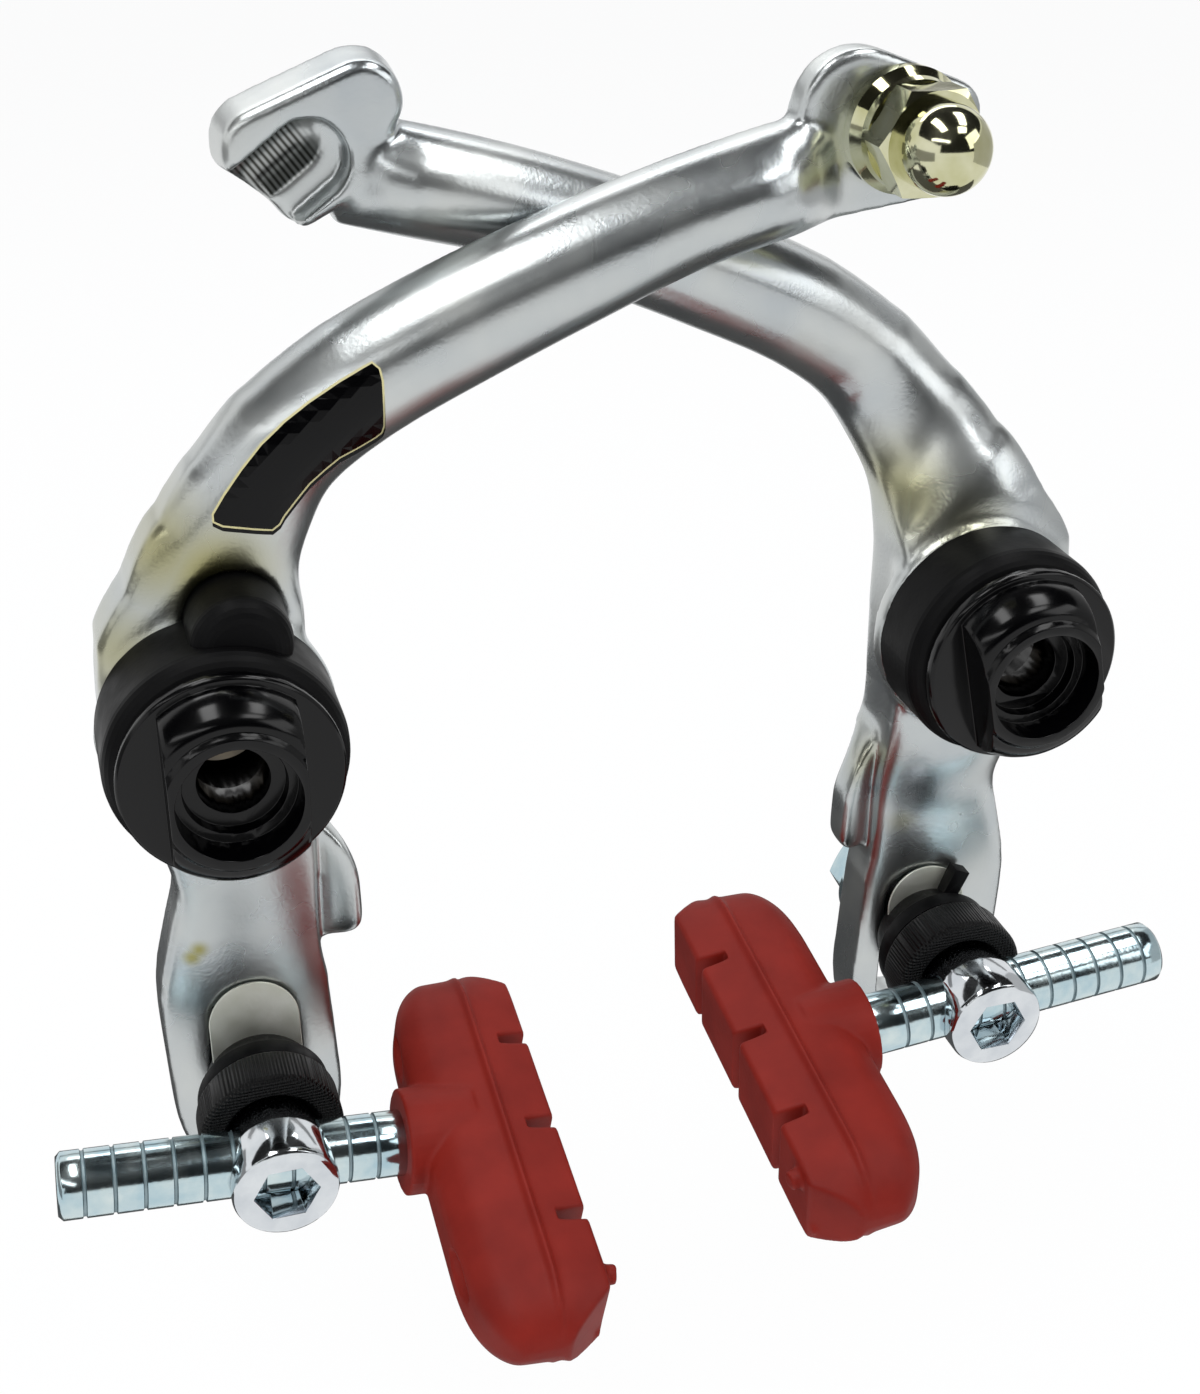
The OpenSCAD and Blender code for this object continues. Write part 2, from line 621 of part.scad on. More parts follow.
// Moulded pad: plan, section and side outlines meet in one boat-shaped block
module pad_block() {
    face = collar_length + pad_thick;
    back = collar_length + 0.4;
    half = pad_length / 2;
    intersection() {
        // Plan: flat braking face and a back that rounds off at both ends
        linear_extrude(2 * pad_height, center = true) polygon(rounded([
            [face, -half + 1.4, 1], [face, half - 1.4, 1], [face - ridge_back, half, 4],
            [back + 2.6, half - 1.2, 4], [back, half - 6, 6], [back, -half + 6, 6],
            [back + 2.6, -half + 1.2, 4], [face - ridge_back, -half, 4]]));
        // Section: widest at the parting ridge
        rotate([90, 0, 0]) linear_extrude(2 * pad_length, center = true) polygon(rounded([
            [face, face_height / 2, 0.4], [face - ridge_back, pad_height / 2, 0.5],
            [collar_length, pad_height / 2 - 2.2, 2.4], [collar_length, -pad_height / 2 + 2.2, 2.4],
            [face - ridge_back, -pad_height / 2, 0.5], [face, -face_height / 2, 0.4]]));
        // Side: both ends rounded
        rotate([0, 90, 0]) linear_extrude(2 * face) polygon(rounded([
            [-pad_height / 2 - 0.8, -half, 5.4], [pad_height / 2 + 0.8, -half, 5.4],
            [pad_height / 2 + 0.8, half, 5.4], [-pad_height / 2 - 0.8, half, 5.4]]));
    }
}

module brake_pad(pitch, offset) {
    face = collar_length + pad_thick;
    step = pad_length / (pad_grooves + 1);
    color("indianred") on_slope() translate([collar_at, -post_depth, 0]) rotate([pitch, 0, 0])
        difference() {
            union() {
                translate([0, -offset, 0]) pad_block();
                rotate([0, 90, 0]) cylinder(d = collar_d, h = collar_length + 3);
            }
            for (i = [1:pad_grooves])
                translate([face - pad_groove_depth, i * step - pad_length / 2 - offset, 0]) {
                    cylinder(d = pad_groove_w, h = 2 * pad_height, center = true);
                    translate([0, -pad_groove_w / 2, -pad_height])
                        cube([pad_groove_depth + 1, pad_groove_w, 2 * pad_height]);
                }
            rotate([0, 90, 0]) translate([0, 0, -1]) cylinder(d = post_d, h = 8.1);
            rotate([0, 90, 0]) translate([0, 0, 7]) cylinder(d = post_d + 2, h = 3);
        }
}

// Places its children on the anchor bolt's axis, with depths measured from the plate's face
module on_anchor() {
    on_side(-1) translate([anchor_across, -front_layer_rear - front_plate_thick, anchor_height])
        children();
}

module anchor_bolt() {
    head = 2.6;
    color("khaki") on_anchor() {
        translate([0, front_plate_thick, 0]) hex_nut(anchor_nut_w - 1, -head, 0);
        bar(thread_d / 2, -front_plate_thick - 0.5, anchor_washer_thick + anchor_nut_h + 1);
    }
}

// Washer with a groove that clamps the cable against the plate
module anchor_washer() {
    r = anchor_washer_d / 2;
    color("khaki") on_anchor() difference() {
        turned([[0, 0], [r, 0], [r, 1.4], [r - 0.7, anchor_washer_thick - 0.9],
            [r - 0.9, anchor_washer_thick], [0, anchor_washer_thick]]);
        bar(thread_d / 2 + 0.1, -1, anchor_washer_thick + 1);
        translate([-r - 1, 0, -thread_d / 2 - cable_d / 2]) rotate([0, 90, 0])
            cylinder(d = cable_d, h = 2 * r + 2);
    }
}

// Domed cap nut
module anchor_nut() {
    base = anchor_washer_thick;
    top = base + anchor_nut_h;
    color("khaki") on_anchor() difference() {
        union() {
            hex_nut(anchor_nut_w, base, top);
            intersection() {
                translate([0, -top - dome_neck, 0]) sphere(r = dome_r);
                bar(dome_r + 1, base + 1, top + 8);
            }
            bar(dome_r, top - 0.5, top + dome_neck);
        }
        bar(thread_d / 2, base - 1, top + 1.1);
    }
}

on_side(-1) pivot_bush();  // left_pivot_bush
on_side(1) pivot_bush();  // right_pivot_bush
on_side(-1) adjuster(0);  // left_adjuster
on_side(1) adjuster(right_flats_turn);  // right_adjuster
front_arm();
back_arm();
on_side(-1) spring_cover(true);  // left_spring_cover
on_side(1) spring_cover(false);  // right_spring_cover
on_side(-1) return_spring();  // left_return_spring
on_side(1) return_spring();  // right_return_spring
on_eye(-1) toe_in_washer(180);  // left_toe_in_washer
on_eye(1) toe_in_washer(-24);  // right_toe_in_washer
on_eye(-1) toothed_washer();  // left_toothed_washer
on_eye(1) toothed_washer();  // right_toothed_washer
on_eye(-1) eye_bolt();  // left_eye_bolt
on_eye(1) eye_bolt();  // right_eye_bolt
on_eye(-1) rear_washer();  // left_rear_washer
on_eye(1) rear_washer();  // right_rear_washer
on_eye(-1) eye_nut();  // left_eye_nut
on_eye(1) eye_nut();  // right_eye_nut
on_eye(-1) pad_post();  // left_pad_post
on_eye(1) pad_post();  // right_pad_post
on_eye(-1)  // left_brake_pad
    brake_pad(left_pad_pitch, left_pad_offset);
on_eye(1)  // right_brake_pad
    brake_pad(right_pad_pitch, right_pad_offset);
anchor_bolt();
anchor_washer();
anchor_nut();
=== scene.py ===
# %% [markdown]
# # A bicycle u-brake, dressed for the camera
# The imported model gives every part's place and size in metres. This lesson keeps that frame
# fixed, gives each part its real surface, and rebuilds the forged and moulded parts with the
# soft edges that a press or a mould leaves.

# %% Load the fixed frame
import math

import bmesh
import bpy
from mathutils import Matrix, Vector
from mathutils.bvhtree import BVHTree


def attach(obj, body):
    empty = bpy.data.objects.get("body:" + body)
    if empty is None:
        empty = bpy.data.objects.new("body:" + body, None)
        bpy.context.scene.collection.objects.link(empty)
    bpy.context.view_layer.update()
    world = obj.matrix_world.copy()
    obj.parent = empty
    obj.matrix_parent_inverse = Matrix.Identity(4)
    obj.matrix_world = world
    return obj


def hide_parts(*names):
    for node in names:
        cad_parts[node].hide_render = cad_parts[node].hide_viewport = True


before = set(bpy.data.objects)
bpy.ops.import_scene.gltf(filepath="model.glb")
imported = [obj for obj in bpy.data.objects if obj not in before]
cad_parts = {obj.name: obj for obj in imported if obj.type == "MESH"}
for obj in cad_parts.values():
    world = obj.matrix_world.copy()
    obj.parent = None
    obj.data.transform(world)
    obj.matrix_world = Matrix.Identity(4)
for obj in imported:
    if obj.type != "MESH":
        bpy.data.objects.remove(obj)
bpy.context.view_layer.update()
scene = bpy.context.scene
MM = 0.001

# %% [markdown]
# ## The camera
# The photograph was taken close up, so its perspective is strong. The camera's place was
# found from the two adjusters' rims, which are circles of one known size.

# %% Camera
YAW, DOWN, ROLL = (math.radians(a) for a in (17.582, 28.5, 0.701))
IMAGE_HEIGHT = 1394
FOCAL_PIXELS = 1900
DISTANCE = 188.838 * MM
LOOK_AT = Vector((-5.485, -20.2, 3.4)) * MM

forward = Vector((math.sin(YAW) * math.cos(DOWN), math.cos(YAW) * math.cos(DOWN),
                  -math.sin(DOWN)))
level = Vector((math.cos(YAW), -math.sin(YAW), 0.0))
upright = level.cross(forward)
right = level * math.cos(ROLL) + upright * math.sin(ROLL)
up = upright * math.cos(ROLL) - level * math.sin(ROLL)

camera_data = bpy.data.cameras.new("camera")
camera_data.sensor_fit = "VERTICAL"
camera_data.sensor_height = 36.0
camera_data.lens = FOCAL_PIXELS * camera_data.sensor_height / IMAGE_HEIGHT
camera_data.clip_start = 0.01
camera = bpy.data.objects.new("camera", camera_data)
turn = Matrix((right, up, -forward)).transposed().to_4x4()
camera.matrix_world = Matrix.Translation(LOOK_AT - forward * DISTANCE) @ turn
scene.collection.objects.link(camera)
scene.camera = camera
scene.view_settings.view_transform = "Standard"
print("lens %.2f mm" % camera_data.lens, "camera at", camera.matrix_world.translation)

# %% [markdown]
# ## Small helpers
# Hex colours are how a painter or a web page names a colour. Blender's sockets want linear
# light, so one function turns the one into the other.

# %% Colours and nodes
def linear(hex_colour):
    """Linear red, green, blue and alpha of a colour written as #rrggbb."""
    parts = [int(hex_colour[i:i + 2], 16) / 255 for i in (1, 3, 5)]
    return tuple(c / 12.92 if c <= 0.04045 else ((c + 0.055) / 1.055) ** 2.4
                 for c in parts) + (1.0,)


def add_node(tree, kind, settings=None, inputs=None):
    """Adds one node. settings are its own options, inputs are socket values or links."""
    node = tree.nodes.new(kind)
    for name, value in (settings or {}).items():
        setattr(node, name, value)
    for name, value in (inputs or {}).items():
        if isinstance(value, bpy.types.NodeSocket):
            tree.links.new(value, node.inputs[name])
        else:
            node.inputs[name].default_value = value
    return node


def new_material(name, colour, metallic, roughness):
    """A material with its shader ready. Returns (material, tree, shader)."""
    material = bpy.data.materials.new(name)
    material.use_nodes = True
    tree = material.node_tree
    tree.nodes.clear()
    shader = add_node(tree, "ShaderNodeBsdfPrincipled", inputs={
        "Base Color": linear(colour), "Metallic": metallic, "Roughness": roughness})
    add_node(tree, "ShaderNodeOutputMaterial", inputs={"Surface": shader.outputs["BSDF"]})
    return material, tree, shader


def ramp(tree, fac, stops):
    """A colour ramp with (position, colour) stops, driven by fac."""
    node = add_node(tree, "ShaderNodeValToRGB", inputs={"Fac": fac})
    elements = node.color_ramp.elements
    while len(elements) < len(stops):
        elements.new(0.5)
    for element, (position, colour) in zip(elements, stops):
        element.position = position
        element.color = colour
    return node.outputs["Color"]


def grey(value):
    return (value, value, value, 1.0)


def place_of(tree):
    """Position on the piece in metres, which stays put when the piece moves."""
    return add_node(tree, "ShaderNodeTexCoord").outputs["Object"]


def calc(tree, operation, first, second=None):
    """One step of arithmetic on values or links."""
    inputs = {0: first} if second is None else {0: first, 1: second}
    return add_node(tree, "ShaderNodeMath", {"operation": operation}, inputs).outputs[0]


def distance_along(tree, where, axis):
    """How far a place lies along an axis."""
    return add_node(tree, "ShaderNodeVectorMath", {"operation": "DOT_PRODUCT"}, {
        0: where, 1: axis}).outputs["Value"]


def noise(tree, where, scale, detail):
    return add_node(tree, "ShaderNodeTexNoise", inputs={
        "Vector": where, "Scale": scale, "Detail": detail}).outputs["Fac"]


def spread_out(tree, value, low, high, to_low, to_high):
    """Stretches a value's range from low..high to to_low..to_high."""
    return add_node(tree, "ShaderNodeMapRange", inputs={
        "Value": value, "From Min": low, "From Max": high,
        "To Min": to_low, "To Max": to_high}).outputs[0]


def blend(tree, fac, colour_a, colour_b):
    """Mixes two colours by a factor, each a value or a link."""
    return add_node(tree, "ShaderNodeMix", {"data_type": "RGBA"}, {
        0: fac, 6: colour_a, 7: colour_b}).outputs[2]


def bump(tree, shader, height, distance, strength, normal=None):
    """Bump from a height, with distance as the real depth in metres."""
    inputs = {"Height": height, "Distance": distance, "Strength": strength}
    if normal is not None:
        inputs["Normal"] = normal
    skin = add_node(tree, "ShaderNodeBump", inputs=inputs).outputs["Normal"]
    tree.links.new(skin, shader.inputs["Normal"])
    return skin


def seen_directly(tree):
    """1 for rays from the camera, from mirrors and through glass, 0 for plain light."""
    path = add_node(tree, "ShaderNodeLightPath")
    seen = calc(tree, "MAXIMUM", path.outputs["Is Camera Ray"], path.outputs["Is Glossy Ray"])
    return calc(tree, "MAXIMUM", seen, path.outputs["Is Transmission Ray"])


# %% [markdown]
# ## The studio
# A product photograph of bright metal is mostly a photograph of its surroundings: a pale
# floor and walls, large soft lamps, dark cards that draw the shapes, and a few windows that
# put highlights on the black parts. The pale backdrop is the colour of the floor and of the
# world, not extra light on the object.

# %% World
world = bpy.data.worlds.new("studio")
world.use_nodes = True
scene.world = world
tree = world.node_tree
tree.nodes.clear()
SKY_LIGHT = 0.55
light = add_node(tree, "ShaderNodeBackground", inputs={
    "Color": linear("#eef3fb"), "Strength": SKY_LIGHT})
backdrop = add_node(tree, "ShaderNodeBackground", inputs={"Color": grey(1.0), "Strength": 1.0})
mixed = add_node(tree, "ShaderNodeMixShader", inputs={
    0: seen_directly(tree), 1: light.outputs[0], 2: backdrop.outputs[0]})
add_node(tree, "ShaderNodeOutputWorld", inputs={"Surface": mixed.outputs[0]})
print("world:", world.name)


# %% Floor
def flat_card(name, centre, size, turn_deg):
    """A flat rectangle, facing up before it is turned."""
    bm = bmesh.new()
    bmesh.ops.create_grid(bm, x_segments=1, y_segments=1, size=0.5)
    bmesh.ops.scale(bm, vec=(size[0], size[1], 1.0), verts=bm.verts)
    for axis, angle in zip("XYZ", turn_deg):
        bmesh.ops.rotate(bm, cent=(0, 0, 0), matrix=Matrix.Rotation(math.radians(angle), 3, axis),
                         verts=bm.verts)
    bmesh.ops.translate(bm, vec=centre, verts=bm.verts)
    mesh = bpy.data.meshes.new(name)
    bm.to_mesh(mesh)
    bm.free()
    card = bpy.data.objects.new(name, mesh)
    scene.collection.objects.link(card)
    return card


FLOOR_Z = -0.115
PLAIN_WHITE = 0.93
floor = flat_card("floor", (0, 0.2, FLOOR_Z), (6.0, 6.0), (0, 0, 0))
material, tree, shader = new_material("white_paper_floor", "#f4f4f4", 0.0, 0.9)
# Where the floor is seen it is mostly plain white, with a trace of the object's shadow.
glow = add_node(tree, "ShaderNodeEmission", inputs={"Color": grey(1.0), "Strength": 1.0})
mixed = add_node(tree, "ShaderNodeMixShader", inputs={
    0: calc(tree, "MULTIPLY", seen_directly(tree), PLAIN_WHITE),
    1: shader.outputs["BSDF"], 2: glow.outputs[0]})
output = next(n for n in tree.nodes if n.type == "OUTPUT_MATERIAL")
tree.links.new(mixed.outputs[0], output.inputs["Surface"])
floor.data.materials.append(material)
print("floor at", FLOOR_Z)


# %% Cards and lamps
FLAT, FACING, SIDEWAYS = (0, 0, 0), (90, 0, 0), (0, 90, 0)


def glow_card(name, centre, size, turn_deg, value):
    """A card that only shows in reflections, black at 0, white at 1, a lamp above."""
    card = flat_card(name, centre, size, turn_deg)
    material = bpy.data.materials.new(name)
    material.use_nodes = True
    material.node_tree.nodes.clear()
    glow = add_node(material.node_tree, "ShaderNodeEmission", inputs={
        "Color": grey(min(value, 1.0)), "Strength": max(value, 1.0)})
    add_node(material.node_tree, "ShaderNodeOutputMaterial", inputs={"Surface": glow.outputs[0]})
    card.data.materials.append(material)
    card.visible_camera = False
    card.visible_diffuse = False
    card.visible_shadow = False
    card.visible_transmission = False


# Dark and grey cards that give the polished arms their bands
glow_card("front_card", (0.10, -0.62, 0.28), (1.3, 0.34), FACING, 0.02)
glow_card("under_card", (0.02, 0.085, -0.105), (0.36, 0.20), FLAT, 0.10)
glow_card("over_card", (0.0, -0.14, 0.46), (1.6, 1.18), FLAT, 0.02)
glow_card("right_card", (0.36, -0.06, 0.06), (0.30, 0.6), SIDEWAYS, 0.55)
glow_card("left_card", (-0.36, 0.02, -0.01), (0.16, 0.6), SIDEWAYS, 0.30)
glow_card("rear_card", (0.10, 0.42, 0.12), (0.9, 0.07), FACING, 0.30)
# Three windows in the dark ceiling, which the black adjusters mirror on their bosses
glow_card("left_window", (-0.15, -0.02, 0.45), (0.11, 0.36), FLAT, 6.0)
glow_card("right_window", (0.20, 0.0, 0.45), (0.12, 0.28), FLAT, 6.0)
glow_card("front_window", (0.17, -0.25, 0.44), (0.16, 0.14), FLAT, 5.0)


def soft_lamp(name, place, size, power):
    """A rectangular soft lamp that faces the brake, with its power in watts."""
    data = bpy.data.lights.new(name, "AREA")
    data.shape = "RECTANGLE"
    data.size, data.size_y = size
    data.energy = power
    lamp = bpy.data.objects.new(name, data)
    scene.collection.objects.link(lamp)
    aim = (-Vector(place)).to_track_quat("-Z", "Y")
    lamp.matrix_world = Matrix.Translation(place) @ aim.to_matrix().to_4x4()


soft_lamp("key_lamp", (-0.30, -0.30, 0.55), (0.60, 0.45), 2.9)
soft_lamp("fill_lamp", (0.45, -0.35, 0.35), (0.45, 0.40), 1.2)
soft_lamp("back_lamp", (0.05, 0.45, 0.50), (0.60, 0.25), 1.6)

# %% [markdown]
# ## Metals
# Forged aluminium is tumbled and then polished, so it has a soft, slightly grainy mirror.
# The grain is drawn at about 0.4 mm, coarser than the real one, so that it shows.

# %% Forged aluminium
CLOUD_EDGES = (0.3, 0.7)


def cloudy_gloss(tree, shader, cloud, low, high):
    """Lets the roughness drift between two values with a cloud."""
    rough = spread_out(tree, cloud, *CLOUD_EDGES, low, high)
    tree.links.new(rough, shader.inputs["Roughness"])


def cloudy_tint(tree, shader, cloud, low, high):
    """Lets the colour drift between two hex colours with a cloud."""
    tint = ramp(tree, cloud, [(CLOUD_EDGES[0], linear(low)), (CLOUD_EDGES[1], linear(high))])
    tree.links.new(tint, shader.inputs["Base Color"])
    return tint


def metal(name, low, high, roughness, spread, clouds, grain):
    """A metal whose tint and gloss drift slowly and whose skin has a fine grain.

    clouds is the drift's scale. grain is a scale, a depth in metres and a strength.
    """
    material, tree, shader = new_material(name, low, 1.0, roughness)
    where = place_of(tree)
    cloud = noise(tree, where, clouds, 3.0)
    cloudy_gloss(tree, shader, cloud, roughness - spread, roughness + spread)
    tint = cloudy_tint(tree, shader, cloud, low, high)
    grain_scale, depth, strength = grain
    bump(tree, shader, noise(tree, where, grain_scale, 2.0), depth, strength)
    return material, tree, shader, where, tint


# Arms: a satin polish. One attribute paints olive shade on the shoulders, and another paints
# shade into the drilled channel, in rings 0.57 mm apart where the drill left its marks.
DRILL_AXIS = (-0.8, 0.0, -0.6)
DRILL_WAVES = 11000.0
FORGED, tree, shader, where, tint = metal(
    "polished_forged_aluminium", "#b4babd", "#cbcecc", 0.28, 0.05, clouds=90.0,
    grain=(2400.0, 0.00003, 0.5))
channel_shade = add_node(tree, "ShaderNodeAttribute", {"attribute_name": "channel_shade"}).outputs["Fac"]
olive_shade = add_node(tree, "ShaderNodeAttribute", {"attribute_name": "olive_shade"}).outputs["Fac"]
# Olive painted shade, where the attribute is set
tint = blend(tree, olive_shade, tint, linear("#a09a5e"))
rings = calc(tree, "SINE", calc(
    tree, "MULTIPLY", distance_along(tree, where, DRILL_AXIS), DRILL_WAVES))
rings = spread_out(tree, rings, -1.0, 1.0, 0.35, 1.0)
# Painted shade in the drilled channel, banded by the drill's rings
tint = blend(tree, calc(tree, "MULTIPLY", channel_shade, rings), tint, linear("#3a3a36"))
tree.links.new(tint, shader.inputs["Base Color"])
print("arms:", FORGED.name, len(tree.nodes), "nodes")

# %% Plated and black steel
# Chromed eye bolts: a sharp, cool mirror.
CHROMED = metal("chromed_steel", "#c9ced3", "#d9dde0", 0.09, 0.03, clouds=400.0,
                grain=(1500.0, 0.00002, 0.2))[0]
# Zinc-plated posts, nuts and washers: bluish with a greenish drift.
ZINC = metal("blue_zinc_plated_steel", "#a9c3cd", "#cfdcdc", 0.15, 0.04, clouds=300.0,
             grain=(1500.0, 0.00003, 0.35))[0]
# Cable anchor: nickel that has yellowed to a pale olive.
NICKEL = metal("yellowed_nickel_plate", "#b9b88a", "#d3d2b4", 0.09, 0.03, clouds=260.0,
               grain=(1500.0, 0.00002, 0.2))[0]
# Slot shims: bead-blasted before plating, so pale and almost without reflections.
BLASTED = metal("bead_blasted_zinc_plate", "#dfe1d4", "#eceee6", 0.5, 0.05, clouds=300.0,
                grain=(1800.0, 0.00003, 0.4))[0]
# Return springs: drawn steel wire.
SPRING = metal("drawn_spring_steel", "#77787a", "#8c8c8e", 0.32, 0.05, clouds=300.0,
               grain=(2500.0, 0.00003, 0.4))[0]
# Pivot bushes: oiled bronze, nearly black in its bore.
BUSH = metal("oiled_dark_bronze", "#3a342a", "#4a4234", 0.35, 0.05, clouds=300.0,
             grain=(2000.0, 0.00003, 0.3))[0]
# Bottoms of the posts' grooves: the same zinc, darkened with painted shade and too rough to mirror
# anything.
SHADED_GROOVE = metal("shaded_dull_groove_bottom", "#7f9197", "#9fb0b5", 0.5, 0.05, clouds=600.0,
               grain=(2000.0, 0.00003, 0.3))[0]


def black_finish(name, colour, roughness, specular, grit):
    """A black skin with a fine grit and a faint cloudiness. grit is as grain in metal."""
    material, tree, shader = new_material(name, colour, 0.0, roughness)
    shader.inputs["Specular IOR Level"].default_value = specular
    where = place_of(tree)
    cloud = noise(tree, where, 220.0, 3.0)
    cloudy_gloss(tree, shader, cloud, roughness * 0.85, roughness * 1.2)
    grit_scale, depth, strength = grit
    skin = bump(tree, shader, noise(tree, where, grit_scale, 2.0), depth, strength)
    return material, tree, shader, where, skin


# Washers: black oxide with a dry, gritty skin.
OXIDE = black_finish("black_oxide_steel", "#060607", 0.42, 0.12, (1500.0, 0.00004, 0.6))[0]

# Toothed washers: the same black oxide over fine pressed teeth, 0.55 mm apart.
TOOTH_WAVES, TOOTH_DEPTH = 8000.0, 0.00015
TEETH, tree, shader, where, skin = black_finish(
    "black_oxide_toothed_steel", "#060607", 0.36, 0.22, (1500.0, 0.00003, 0.4))
waves = [calc(tree, "SINE", calc(tree, "MULTIPLY", distance_along(tree, where, axis), TOOTH_WAVES))
         for axis in ((1, 0, 1), (1, 0, -1))]
bump(tree, shader, calc(tree, "MULTIPLY", *waves), TOOTH_DEPTH, 0.8, skin)
print("teeth:", TEETH.name, len(tree.nodes), "nodes")

# %% [markdown]
# ## Moulded and anodised black
# The spring covers are moulded plastic with a fine matt texture. The adjusters are
# aluminium, anodised black and polished, so they mirror the studio in sharp streaks.

# %% Blacks
NYLON = black_finish("matt_moulded_nylon", "#060607", 0.44, 0.10, (1800.0, 0.00003, 0.5))[0]
ANODISED = black_finish("gloss_black_anodised_aluminium", "#020203", 0.16, 0.28,
                        (900.0, 0.00001, 0.15))[0]
# Plate on the arm: bare black under clear lacquer, and its printed line.
BADGE = black_finish("lacquered_black_plate", "#020203", 0.16, 0.2, (900.0, 0.00001, 0.1))[0]
BORDER = black_finish("pale_gold_printed_line", "#c9c08e", 0.35, 0.4, (900.0, 0.00001, 0.1))[0]
print("blacks:", NYLON.name, ANODISED.name, BADGE.name)

# %% [markdown]
# ## Brake pad rubber
# Moulded rubber compound, brick red with a dry skin, slightly darker in broad clouds.

# %% Rubber
RUBBER, tree, shader = new_material("brick_red_pad_rubber", "#7a1a10", 0.0, 0.55)
shader.inputs["Specular IOR Level"].default_value = 0.14
where = place_of(tree)
cloudy_tint(tree, shader, noise(tree, where, 160.0, 4.0), "#72170e", "#831f15")
bump(tree, shader, noise(tree, where, 1400.0, 3.0), 0.00005, 0.4)
print("rubber:", RUBBER.name, len(tree.nodes), "nodes")


# %% [markdown]
# ## Copies of the solids with soft edges
# A CAD solid has knife-sharp joins. Forging and moulding leave fillets, so the arms and
# pads are copied, rebuilt as an even grid of small quads, and relaxed until the joins flow.

# %% Copy helpers
WELD = 0.001 * MM


def merged_copy(node):
    """A bmesh of a CAD node with its doubled points merged."""
    bm = bmesh.new()
    bm.from_mesh(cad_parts[node].data)
    bmesh.ops.remove_doubles(bm, verts=bm.verts, dist=WELD)
    return bm


def as_piece(name, bm, material, body, replaced=()):
    """Makes a finished object of a bmesh, riding on a body."""
    mesh = bpy.data.meshes.new(name)
    bm.to_mesh(mesh)
    bm.free()
    piece = bpy.data.objects.new(name, mesh)
    scene.collection.objects.link(piece)
    mesh.materials.append(material)
    if replaced:
        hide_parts(*replaced)
    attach(piece, body)
    return piece


def apply_modifiers(piece):
    """Bakes a piece's modifiers into its mesh."""
    graph = bpy.context.evaluated_depsgraph_get()
    mesh = bpy.data.meshes.new_from_object(piece.evaluated_get(graph))
    old = piece.data
    piece.modifiers.clear()
    piece.data = mesh
    bpy.data.meshes.remove(old)


def remesh(piece, voxel):
    """Rebuilds a piece as an even grid of small quads."""
    modifier = piece.modifiers.new("remesh", "REMESH")
    modifier.mode = "VOXEL"
    modifier.voxel_size = voxel
    apply_modifiers(piece)


def relax(bm, verts, rounds):
    """Smooths points towards their neighbours, round after round."""
    for _ in range(rounds):
        bmesh.ops.smooth_vert(bm, verts=verts, factor=0.5, use_axis_x=True, use_axis_y=True,
                              use_axis_z=True)


def set_mesh(piece, bm):
    """Gives a piece its final, smooth-shaded mesh."""
    bm.to_mesh(piece.data)
    bm.free()
    piece.data.polygons.foreach_set("use_smooth", [True] * len(piece.data.polygons))
    print(piece.name, len(piece.data.polygons), "faces")


def ease(t):
    """0 below 0, 1 above 1 and an S-curve between."""
    t = min(max(t, 0.0), 1.0)
    return t * t * (3 - 2 * t)


# %% Shape of the shoulders
# Each row: a point of an arm's centre line (across from its pivot, up), the half width there
# and how much the real forging is slimmer on its outer side. All in millimetres.
PIVOT_X = 42.0
SHOULDER = [(-0.9, 0, 10.4, 0.0), (-1.2, 8, 10.8, 1.2), (-0.4, 13.3, 10.5, 3.4),
            (1.4, 17.8, 9.3, 3.2), (4.6, 22.3, 7.7, 1.8), (9.2, 27.6, 6.7, 0.9),
            (16.9, 32.6, 6.3, 0.15), (26.9, 37.3, 6.1, 0)]
# The stop lug is set further in and further forward by these millimetres.
LUG_IN, LUG_FORWARD = 1.7, 3.2
LUG_EDGE = 9.8


def slimmed(across, up):
    """Where a point of the shoulder goes when its outer side is drawn in."""
    best = None
    for (ax, az, aw, ad), (bx, bz, bw, bd) in zip(SHOULDER, SHOULDER[1:]):
        run = Vector((bx - ax, bz - az))
        t = min(max(((across - ax) * run.x + (up - az) * run.y) / run.length_squared, 0), 1)
        away = Vector((across - ax - t * run.x, up - az - t * run.y))
        if best is None or away.length < best[0]:
            outer = run.x * away.y - run.y * away.x > 0
            best = (away.length, away, outer, aw + t * (bw - aw), ad + t * (bd - ad))
    # The nearest point of the centre line decides
    distance, away, outer, width, drawn = best
    if not outer or distance < 1e-6:
        return across, up
    pull = away * (drawn * ease(distance / width) / distance)
    return across - pull.x, up - pull.y


def reshape_arm(mesh, side, hub_forward):
    """Slims the shoulder, brings the hub's front forward and sets the stop lug as forged."""
    for vertex in mesh.vertices:
        x, y, z = vertex.co / MM
        across, up, depth = PIVOT_X + side * x, z, -y
        if -30 < across < 34 and -2 < up < 44:
            across, up = slimmed(across, up)
        if across < 20:
            # Full within 12 mm of the pivot, none beyond 21 mm, and none on the flat back
            near = 1 - ease((math.hypot(across, up * 0.8) - 12) / 9)
            depth += hub_forward * near * ease((depth - 1) / 7)
        lug = ease((across - 9.2) / 1.6) * ease((up + 36) / 2) * ease((-6 - up) / 4)
        across += LUG_IN * lug
        depth += LUG_FORWARD * lug
        vertex.co = Vector((side * (across - PIVOT_X), -depth, up)) * MM


def near_slot(vertex):
    """The milled slot, whose edges stay crisp."""
    return 36 < abs(vertex.co.x / MM) < 46.5 and vertex.co.z / MM < -29


def in_lug(vertex):
    """The stop lug, whose joins are rounder than the arm's."""
    return abs(vertex.co.x / MM) < PIVOT_X - LUG_EDGE and -38 < vertex.co.z / MM < -5


